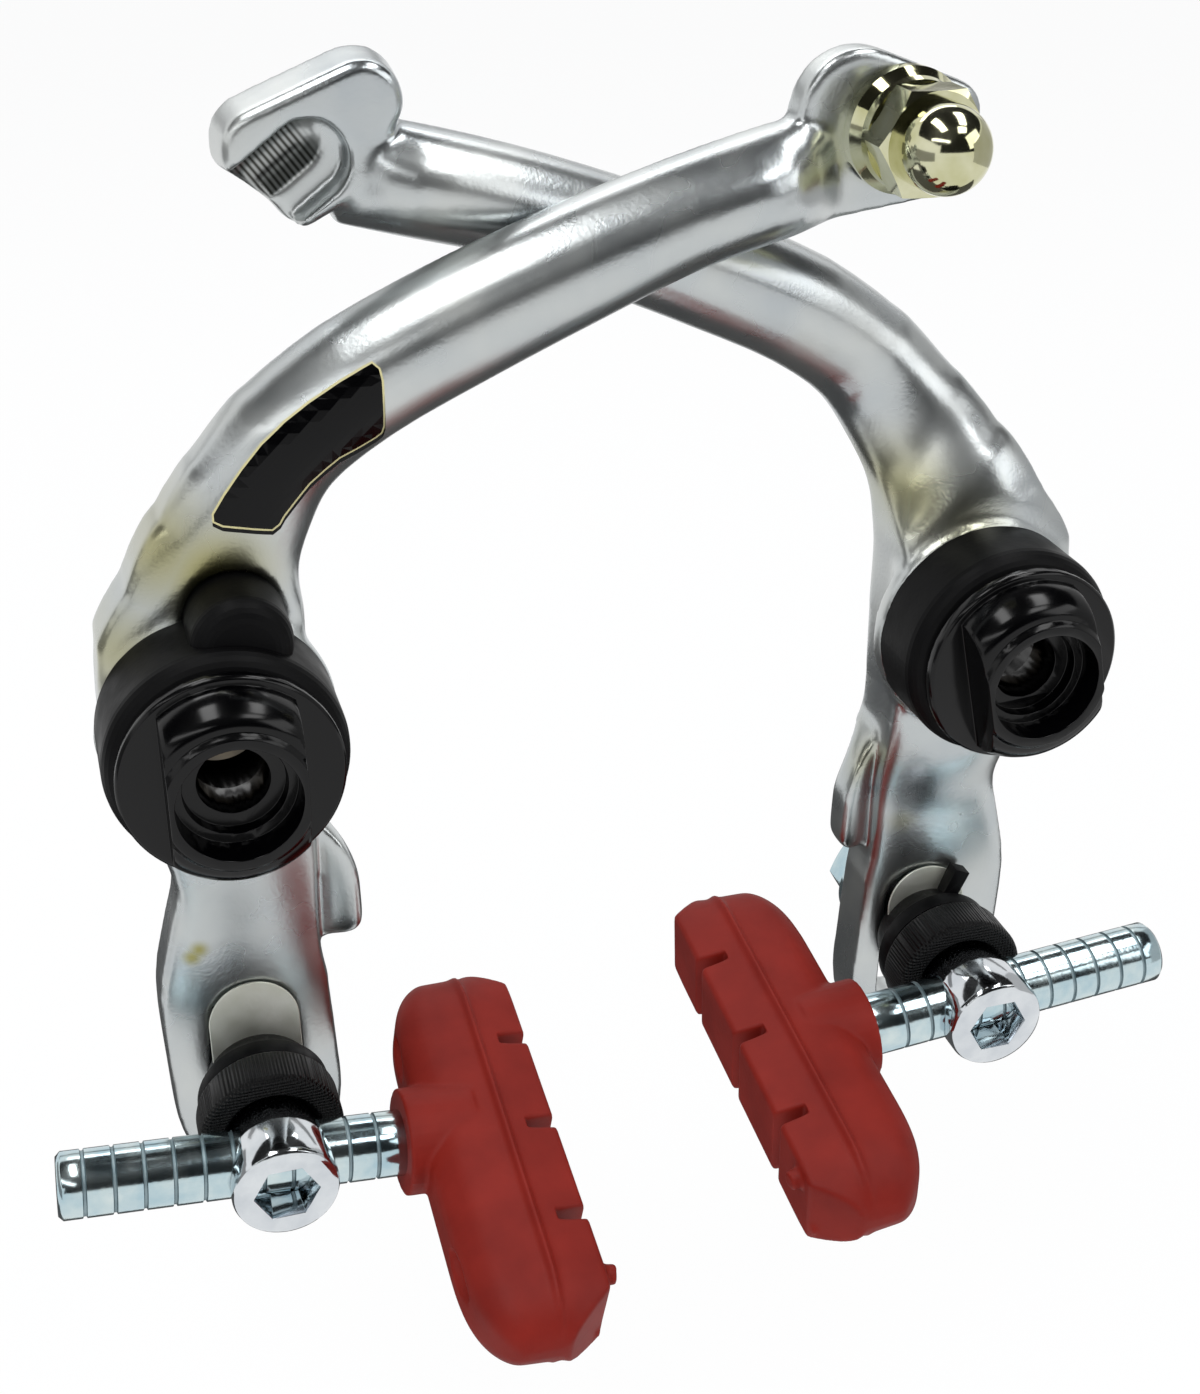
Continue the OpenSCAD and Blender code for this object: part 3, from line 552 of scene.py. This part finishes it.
def forged_arm(name, node, body, side, hub_forward):
    """A copy of an arm with the forging's own shape and its soft joins."""
    piece = as_piece(name, merged_copy(node), FORGED, body, (node,))
    remesh(piece, 0.35 * MM)
    reshape_arm(piece.data, side, hub_forward)
    bm = bmesh.new()
    bm.from_mesh(piece.data)
    relax(bm, bm.verts, 3)
    relax(bm, [v for v in bm.verts if not near_slot(v)], 9)
    relax(bm, [v for v in bm.verts if in_lug(v)], 25)
    set_mesh(piece, bm)
    return piece


def add_attribute(piece, name, values):
    """Stores one number per point, for the material to read."""
    layer = piece.data.attributes.new(name, "FLOAT", "POINT")
    layer.data.foreach_set("value", values)


def paint_olive_shade(piece, side, spots):
    """Paints soft round spots of olive painted shade, given as (across, up, radius, strength), on
    what faces forwards.
    """
    values = []
    for vertex in piece.data.vertices:
        across, up = PIVOT_X + side * vertex.co.x / MM, vertex.co.z / MM
        facing = ease(0.5 - vertex.normal.y)
        values.append(facing * max(
            strength * (1 - ease(math.hypot(across - a, up - z) / radius))
            for a, z, radius, strength in spots))
    add_attribute(piece, "olive_shade", values)


# %% Arms
front_arm = forged_arm("forged_front_arm", "front_arm", "front_lever", 1, 0.6)
back_arm = forged_arm("forged_back_arm", "back_arm", "back_lever", -1, 2.0)
# Spots of olive painted shade on each arm's shoulders
paint_olive_shade(front_arm, 1, [
    (-4, 19, 9, 0.75), (1, 16, 9, 0.95), (-9, 9, 8, 0.6), (-5.0, -28.6, 1.5, 1.0),
    (-4.2, -27.7, 1.5, 1.0)])
paint_olive_shade(back_arm, -1, [
    (8, 15, 8, 0.7), (3, 12, 8, 0.5), (11.6, -17, 5, 0.45), (6, -26, 2.5, 0.4)])

# %% The drilled channel
# The cable end's channel runs slanting down from its seat. Its walls get painted shade, the
# darkness of the recess drawn into the colour. Here out is measured inwards from the right pivot.
SEAT, CHANNEL_RUN, CHANNEL_DEPTH, CHANNEL_RADIUS = (70.34, 53.2), (0.8, -0.6), -6.0, 2.5
values = []
for vertex in back_arm.data.vertices:
    x, y, z = vertex.co / MM
    out, rise, deep = PIVOT_X - x - SEAT[0], z - SEAT[1], -y - CHANNEL_DEPTH
    along = out * CHANNEL_RUN[0] + rise * CHANNEL_RUN[1]
    beside = out * CHANNEL_RUN[1] - rise * CHANNEL_RUN[0]
    inside = 1 - ease((math.hypot(beside, deep) - CHANNEL_RADIUS) / 0.5)
    values.append(inside * ease((along + 2) / 1.5))
add_attribute(back_arm, "channel_shade", values)
print("shaded points:", sum(value > 0 for value in values))

# %% [markdown]
# ## The plate on the front arm
# A thin plate is stuck to the swell of the front arm: black under clear lacquer, with a fine
# pale line inside its rim. Its outline is drawn flat, cut into strips, and laid on the arm.

# %% Plate
PLATE = [(-40.7, 22.5), (-39.5, 24.3), (-37.6, 26.8), (-35.6, 29.1), (-33.3, 31.1), (-30.9, 32.8),
         (-27.9, 34.6), (-25.6, 35.8), (-24.7, 36.2), (-24.0, 35.6), (-23.8, 34.5), (-23.8, 32.5),
         (-23.7, 29.7), (-23.9, 28.8), (-24.6, 28.3), (-26.1, 27.6), (-28.2, 26.8), (-29.7, 25.7),
         (-31.2, 24.5), (-32.5, 23.0), (-33.8, 21.5), (-34.3, 20.7), (-35.1, 20.2), (-38.2, 20.9),
         (-39.8, 21.2), (-40.7, 21.7)]
PLATE_RIM, PLATE_LINE, PLATE_PROUD, PLATE_THICK = 0.5 * MM, 0.2 * MM, 0.18 * MM, 0.4 * MM
bm = bmesh.new()
face = bm.faces.new([bm.verts.new((x * MM, 0, z * MM)) for x, z in reversed(PLATE)])
bmesh.ops.inset_region(bm, faces=[face], thickness=PLATE_RIM, use_boundary=True)
line = bmesh.ops.inset_region(bm, faces=[face], thickness=PLATE_LINE, use_boundary=True)["faces"]
for strip in line:
    strip.material_index = 1
# Strips of 1 mm both ways, so that the plate can bend with the arm
for normal, low, high in (((1, 0, 0), -41, -23), ((0, 0, 1), 20, 37)):
    for step in range(low, high):
        bmesh.ops.bisect_plane(bm, geom=bm.verts[:] + bm.edges[:] + bm.faces[:],
                               plane_co=Vector(normal) * step * MM, plane_no=normal)
bmesh.ops.triangulate(bm, faces=bm.faces)
arm_skin = BVHTree.FromPolygons([v.co.copy() for v in front_arm.data.vertices],
                                [tuple(p.vertices) for p in front_arm.data.polygons])
# Each point drops onto the arm from the front, or onto the arm's nearest place if it misses.
IN_FRONT, NEAR_FRONT, BACKWARDS = Vector((0, -0.05, 0)), Vector((0, -0.008, 0)), Vector((0, 1, 0))
for vertex in bm.verts:
    place = arm_skin.ray_cast(vertex.co + IN_FRONT, BACKWARDS)[0]
    place = place or arm_skin.find_nearest(vertex.co + NEAR_FRONT)[0]
    vertex.co.y = place.y - PLATE_PROUD
bmesh.ops.recalc_face_normals(bm, faces=bm.faces)
if sum(f.normal.y for f in bm.faces) > 0:
    bmesh.ops.reverse_faces(bm, faces=bm.faces)
plate = as_piece("lacquered_plate", bm, BADGE, "front_lever")
plate.data.materials.append(BORDER)
thick = plate.modifiers.new("thickness", "SOLIDIFY")
thick.thickness = PLATE_THICK
thick.offset = -1
print("plate", len(plate.data.polygons), "faces")

# %% [markdown]
# ## Shims under the toe-in washers
# A bright shim shows above each black washer and closes the top of the leg's slot.

# %% Shims
# Each eye bolt's place: across inwards from its pivot, and down from it.
EYE_ACROSS = {"left": 0.8, "right": 2.4}
EYE_DROP = {"left": 45.0, "right": 41.4}
SIDES = {"left": 1, "right": -1}
SHIM_TOP, SHIM_RADIUS, SHIM_FRONT, SHIM_THICK = -32.6, 4.95, -8.62, 0.24
# The leg's front comes forward by this much for each millimetre downwards.
LEG_LEAN = 0.12


def eye_x(side):
    """Where an eye bolt's axis lies across the frame, in millimetres."""
    return -SIDES[side] * (PIVOT_X - EYE_ACROSS[side])


def shim_piece(side, foot):
    """A round-ended strip of thin plated steel on the leg's front face."""
    bm = bmesh.new()
    bmesh.ops.create_circle(bm, cap_ends=True, segments=64, radius=SHIM_RADIUS * MM,
                            matrix=Matrix.Rotation(math.radians(90), 4, "X"))
    for vertex in bm.verts:
        centre = SHIM_TOP - SHIM_RADIUS if vertex.co.z > 0 else foot + SHIM_RADIUS
        vertex.co += Vector((eye_x(side), SHIM_FRONT, centre)) * MM
        vertex.co.y += (vertex.co.z - SHIM_TOP * MM) * LEG_LEAN
    lifted = bmesh.ops.extrude_face_region(bm, geom=bm.faces[:])["geom"]
    bmesh.ops.translate(bm, vec=(0, SHIM_THICK * MM, 0),
                        verts=[v for v in lifted if isinstance(v, bmesh.types.BMVert)])
    bmesh.ops.recalc_face_normals(bm, faces=bm.faces)
    bmesh.ops.bevel(bm, geom=bm.edges, offset=0.08 * MM, offset_type="OFFSET", affect="EDGES",
                    segments=2, profile=0.5, material=-1)
    shim = as_piece(side + "_slot_shim", bm, BLASTED, side + "_toe_seat")
    print(shim.name, len(shim.data.polygons), "faces")


shim_piece("left", -48)
shim_piece("right", -46)

# %% [markdown]
# ## Brake pads
# A pad is a boat-shaped block: a flat braking face, a raised parting ridge round its middle,
# a back that rounds off at both ends, a collar for the post and two stubs left by the mould.

# %% Pad form
# Half the pad's length, then how far its face, back and ridge lie from the collar's end.
PAD_HALF, PAD_FACE, PAD_BACK, PAD_RIDGE = 24.4, 16.2, 2.2, 10.4
# The post's axis in front of the hubs, the collar's place along it and its slope in degrees.
POST_DEPTH, COLLAR_AT, POST_SLOPE = 23.0, 12.4, 5.0
PAD_RINGS = 96
GROOVES, GROOVE_HALF, GROOVE_FLOOR = (-12, 0, 12), 0.55, PAD_FACE - 3.4


def pad_ring(y):
    """Outline of the pad's section at y along it, as (towards the face, up) points."""
    end = min(max((abs(y) - 16.5) / (PAD_HALF - 16.5), 0), 1)
    tall = math.sqrt(max(1 - end ** 2.4, 0.02))
    bow = min(max((abs(y) - 12) / 13, 0), 1)
    back = PAD_BACK + 7.0 * (1 - math.sqrt(max(1 - bow ** 2.6, 0)))
    face = PAD_FACE - 4.6 * max(abs(y) - 20.8, 0) / (PAD_HALF - 20.8)
    # Upper corners from the face to the back, each with the radius it is rounded by
    corners = [(face, 4.7 * tall ** 0.5, 0.5), (PAD_RIDGE + 0.5, 5.5 * tall, 0.3),
               (PAD_RIDGE, 6.35 * tall, 0.1), (PAD_RIDGE - 0.5, 5.5 * tall, 0.3),
               ((back + PAD_RIDGE) / 2 - 1.6, 4.9 * tall, 1.2), (back, 2.9 * tall, 1.8)]
    corners += [(x, -z, r) for x, z, r in reversed(corners)]
    ring = []
    for k, (x, z, r) in enumerate(corners):
        here = Vector((x, z))
        before = Vector(corners[k - 1][:2]) - here
        after = Vector(corners[(k + 1) % len(corners)][:2]) - here
        reach = min(r, before.length * 0.45, after.length * 0.45)
        start, stop = here + before.normalized() * reach, here + after.normalized() * reach
        for t in (0, 0.25, 0.5, 0.75, 1):
            ring.append(start * (1 - t) ** 2 + here * (2 * t * (1 - t)) + stop * t ** 2)
    return ring


def add_cylinder(bm, radius, start, stop):
    """A closed cylinder between two points."""
    run = Vector(stop) - Vector(start)
    turn = run.to_track_quat("Z", "Y").to_matrix().to_4x4()
    place = Matrix.Translation((Vector(start) + Vector(stop)) / 2) @ turn
    bmesh.ops.create_cone(bm, cap_ends=True, segments=32, radius1=radius, radius2=radius,
                          depth=run.length, matrix=place)


def pad_block(forward):
    """The block, its collar and the mould's two stubs: x to the rim, y away, z up."""
    bm = bmesh.new()
    loops = []
    for k in range(PAD_RINGS + 1):
        y = -PAD_HALF * math.cos(math.pi * k / PAD_RINGS)
        ring = [bm.verts.new((p.x, y, p.y)) for p in pad_ring(y)]
        loops.append([bm.edges.new(pair) for pair in zip(ring, ring[1:] + ring[:1])])
    for first, second in zip(loops, loops[1:]):
        bmesh.ops.bridge_loops(bm, edges=first + second)
    bmesh.ops.holes_fill(bm, edges=loops[0] + loops[-1])
    bmesh.ops.recalc_face_normals(bm, faces=bm.faces)
    add_cylinder(bm, 5.7, (0.4, forward, 0), (8, forward, 0))
    add_cylinder(bm, 1.05, (PAD_FACE - 3, -PAD_HALF + 6.4, 2.8),
                 (PAD_FACE + 1.3, -PAD_HALF + 5.8, 2.8))
    add_cylinder(bm, 0.9, (PAD_FACE - 3, -PAD_HALF + 4.2, -2.8),
                 (PAD_FACE - 0.2, -PAD_HALF + 3.6, -2.8))
    bmesh.ops.scale(bm, vec=(MM, MM, MM), verts=bm.verts)
    return bm


def press_marks(bm):
    """Sinks an oval dimple into the back near each end, and the grooves into the face."""
    for vertex in bm.verts:
        x, y, z = vertex.co / MM
        dip = 1 - ((abs(y) - 14.5) / 3.4) ** 2 - ((z - 1.0) / 1.5) ** 2
        if x < 9 and dip > 0:
            vertex.co.x += 1.0 * MM * ease(dip * 1.6)
        for offset in GROOVES:
            inside = 1 - ease((abs(y - offset) - GROOVE_HALF) / 0.35)
            if x > GROOVE_FLOOR and inside > 0:
                vertex.co.x = (x + (GROOVE_FLOOR - x) * inside) * MM


def pad_place(side, pitch, forward, turn, inward):
    """The matrix that sets a pad on its post, tipped by pitch and turned by turn degrees."""
    return (Matrix.Diagonal((SIDES[side], 1, 1, 1))
            @ Matrix.Translation((-(PIVOT_X - EYE_ACROSS[side]) * MM, 0, -EYE_DROP[side] * MM))
            @ Matrix.Rotation(math.radians(POST_SLOPE), 4, "Y")
            @ Matrix.Translation((COLLAR_AT * MM, -POST_DEPTH * MM, 0))
            @ Matrix.Rotation(math.radians(pitch), 4, "X")
            @ Matrix.Rotation(math.radians(turn), 4, "Z")
            @ Matrix.Translation((inward * MM, -forward * MM, 0)))


def pad_piece(side, pitch, forward, turn, inward):
    """Builds one pad in its own frame and sets it on its post."""
    node = side + "_brake_pad"
    piece = as_piece("moulded_" + side + "_pad", pad_block(forward), RUBBER, side + "_shoe",
                     (node,))
    remesh(piece, 0.25 * MM)
    bm = bmesh.new()
    bm.from_mesh(piece.data)
    relax(bm, bm.verts, 3)
    press_marks(bm)
    bmesh.ops.transform(bm, matrix=pad_place(side, pitch, forward, turn, inward), verts=bm.verts)
    bmesh.ops.recalc_face_normals(bm, faces=bm.faces)
    set_mesh(piece, bm)


# %% Pads
pad_piece("left", pitch=10.5, forward=3.7, turn=0.8, inward=0.2)
pad_piece("right", pitch=8, forward=0.8, turn=0.0, inward=1.3)

# %% [markdown]
# ## Turned and moulded parts
# These keep their CAD form. A copy with a narrow bevel on its sharp edges catches the light
# as a real broken edge does.

# %% Bevelled copies
SHARP, FLAT_ENOUGH = math.radians(30), math.radians(0.5)


def widen_socket(bm, side):
    """Makes the hexagon socket in an eye bolt's head a fifth wider, as in the photograph."""
    head, reach, wider = -27 * MM, 3.2 * MM, 0.2
    for vertex in bm.verts:
        out = Vector((vertex.co.x - eye_x(side) * MM, 0, vertex.co.z + EYE_DROP[side] * MM))
        if vertex.co.y < head and out.length < reach:
            vertex.co += out * wider


def bevelled_piece(node, material, body, width):
    """A copy of a CAD node with its sharp edges broken by a narrow bevel."""
    bm = merged_copy(node)
    bmesh.ops.dissolve_limit(bm, angle_limit=FLAT_ENOUGH, verts=bm.verts, edges=bm.edges)
    if node.endswith("eye_bolt"):
        widen_socket(bm, node[:-len("_eye_bolt")])
    piece = as_piece("edged_" + node, bm, material, body, (node,))
    piece.data.polygons.foreach_set("use_smooth", [True] * len(piece.data.polygons))
    cut = piece.modifiers.new("bevel", "BEVEL")
    cut.width = width
    cut.segments = 2
    cut.limit_method = "ANGLE"
    cut.angle_limit = SHARP
    cut.harden_normals = True
    print(piece.name, len(piece.data.polygons), "faces")


FINISHES = {
    "pivot_bush": BUSH, "spring_cover": NYLON, "return_spring": SPRING, "adjuster": ANODISED,
    "toe_in_washer": OXIDE, "toothed_washer": TEETH, "eye_bolt": CHROMED, "rear_washer": ZINC,
    "eye_nut": ZINC,
}
# The bevel's width in millimetres and the body, for each kind that gets one.
BEVELLED = {
    "adjuster": (0.22, "spring_nut"), "toothed_washer": (0.2, "eye"), "eye_nut": (0.15, "eye"),
    "toe_in_washer": (0.25, "toe_seat"), "eye_bolt": (0.2, "eye"),
}


def paint(node, material):
    """Gives a CAD node its material."""
    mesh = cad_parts[node].data
    mesh.materials.clear()
    mesh.materials.append(material)


for side in SIDES:
    for kind, material in FINISHES.items():
        if kind in BEVELLED:
            width, body = BEVELLED[kind]
            bevelled_piece(side + "_" + kind, material, side + "_" + body, width * MM)
        else:
            paint(side + "_" + kind, material)
for node in ("anchor_bolt", "anchor_washer", "anchor_nut"):
    paint(node, NICKEL)

# %% Grooved posts
# A copy of each post has the bottoms of its grooves set apart, to be dull and darkened with
# painted shade. A face is a bottom if it lies within this radius, is short and isn't at either
# end.
BOTTOM_RADIUS = 3.35
for side, sign in SIDES.items():
    slope = math.radians(POST_SLOPE)
    start = Vector((-sign * (PIVOT_X - EYE_ACROSS[side]), -POST_DEPTH, -EYE_DROP[side])) * MM
    run = Vector((sign * math.cos(slope), 0, -math.sin(slope)))
    bm = merged_copy(side + "_pad_post")
    for face in bm.faces:
        reach = [(v.co - start).dot(run) for v in face.verts]
        spokes = [(v.co - start - run * far).length for v, far in zip(face.verts, reach)]
        first, last = min(reach) / MM, max(reach) / MM
        bottom = (min(spokes) < BOTTOM_RADIUS * MM and last - first < 1
                  and first > -22 and last < 12)
        # Groove bottoms take the material with painted shade
        face.material_index = int(bottom)
        face.smooth = not bottom
    post = as_piece("grooved_" + side + "_post", bm, ZINC, side + "_shoe", (side + "_pad_post",))
    post.data.materials.append(SHADED_GROOVE)
    print(post.name, sum(p.material_index for p in post.data.polygons), "groove faces")
